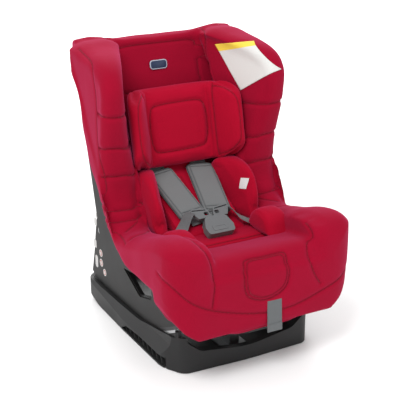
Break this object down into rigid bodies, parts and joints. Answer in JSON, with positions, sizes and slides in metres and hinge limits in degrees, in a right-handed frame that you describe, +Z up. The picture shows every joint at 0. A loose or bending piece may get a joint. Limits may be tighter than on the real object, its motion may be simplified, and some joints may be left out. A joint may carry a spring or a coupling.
{
  "type": "convertible child car seat",
  "caption": "Padded convertible child car seat: reclining bucket shell on a low base, head pillow, newborn insert, five-point harness with pads, front strap adjuster, lock-offs.",
  "frame": {"origin": "on the floor, on the underside of the base's centre foot", "axes": "+Z up, the seat faces -Y, +X is on the right seen from the front"},
  "size_m": [0.444, 0.5574, 0.6299],
  "materials": {
    "base_plastic": "fine grained, mid-dark grey",
    "grille_plastic": "plain black",
    "rubber": "ribbed",
    "steel": "zinc plated",
    "shell_plastic": "fine grained, near black",
    "nylon": "smooth",
    "lever_paint": "satin black",
    "grip_plastic": "ribbed",
    "webbing": "woven grey webbing",
    "pad_fabric": "padded grey cloth",
    "buckle_plastic": "smooth grey",
    "cover_fabric": "crimson padded knit",
    "insert_fabric": "brighter red padded knit",
    "badge_plastic": "navy with a pale rim, blank",
    "label_cloth": "blank white woven label"
  },
  "bodies": {
    "base": {"base_shell": "base_plastic", "foot_pads": "rubber", "side_grille_left": "grille_plastic", "side_grille_right": "grille_plastic", "rail_left": "steel", "rail_right": "steel", "rail_screws": "steel", "detent_rack": "steel"},
    "seat": {"adjuster_housing": "shell_plastic", "adjuster_pin": "steel", "adjuster_spring": "steel", "adjuster_strap": "webbing", "adjuster_webbing": "webbing", "anchor_bars": "steel", "back_cover": "cover_fabric", "badge": "badge_plastic", "buckle_housing": "buckle_plastic", "button_spring": "steel", "clamp_base_left": "shell_plastic", "clamp_base_right": "shell_plastic", "clamp_pins": "steel", "crotch_pad": "pad_fabric", "crotch_strap": "webbing", "flap_patch": "cover_fabric", "head_pillow": "insert_fabric", "hip_pad_left": "insert_fabric", "hip_pad_right": "insert_fabric", "insert_back": "insert_fabric", "insert_bolster_left": "insert_fabric", "insert_bolster_right": "insert_fabric", "insert_seat": "insert_fabric", "lap_straps": "webbing", "lever_bracket": "steel", "lever_pin": "steel", "lever_spring": "steel", "lobe_left": "cover_fabric", "lobe_right": "cover_fabric", "rear_cover": "shell_plastic", "runner_left": "nylon", "runner_right": "nylon", "seat_cushion": "cover_fabric", "seat_shell": "shell_plastic", "shell_screws": "steel", "shoulder_pad_left": "pad_fabric", "shoulder_pad_right": "pad_fabric", "shoulder_strap_left": "webbing", "shoulder_strap_right": "webbing", "size_tag": "label_cloth", "tongue_left": "buckle_plastic", "tongue_right": "buckle_plastic", "wing_label": "label_cloth", "wing_left": "cover_fabric", "wing_right": "cover_fabric", "yoke_plate": "steel"},
    "lever": {"recline_lever": "lever_paint", "lever_grip": "grip_plastic"},
    "buckle_button": {"buckle_button": "buckle_plastic"},
    "adjuster_button": {"adjuster_button": "nylon"},
    "clamp_left": {"clamp_lever_left": "nylon"},
    "clamp_right": {"clamp_lever_right": "nylon"}
  },
  "joints": [
    {"name": "recline", "type": "hinge", "parent": "base", "child": "seat", "pos_m": [0, 0.1, 0.56], "axis": [-1, 0, 0], "range_deg": [0, 13]},
    {"name": "recline_lever", "type": "hinge", "parent": "seat", "child": "lever", "pos_m": [0, 0.11, 0.095], "axis": [-1, 0, 0], "range_deg": [0, 3], "stiffness_Nm_per_rad": 12, "springref_deg": -5.73, "deforming": ["lever_spring"]},
    {"name": "buckle_press", "type": "slide", "parent": "seat", "child": "buckle_button", "axis": [0, 0.5446, -0.8387], "range_m": [0, 0.003], "stiffness_N_per_m": 900, "springref_m": -0.001, "deforming": ["button_spring"]},
    {"name": "adjuster_press", "type": "hinge", "parent": "seat", "child": "adjuster_button", "pos_m": [0, -0.241, 0.214], "axis": [-1, 0, 0], "range_deg": [0, 12], "stiffness_Nm_per_rad": 0.4, "springref_deg": -5.73},
    {"name": "belt_clamp_left", "type": "hinge", "parent": "seat", "child": "clamp_left", "pos_m": [-0.144, 0.20841, 0.35667], "axis": [0, 0.2683, 0.9633], "range_deg": [0, 75]},
    {"name": "belt_clamp_right", "type": "hinge", "parent": "seat", "child": "clamp_right", "pos_m": [0.144, 0.20841, 0.35667], "axis": [0, -0.2683, -0.9633], "range_deg": [0, 75]}
  ]
}
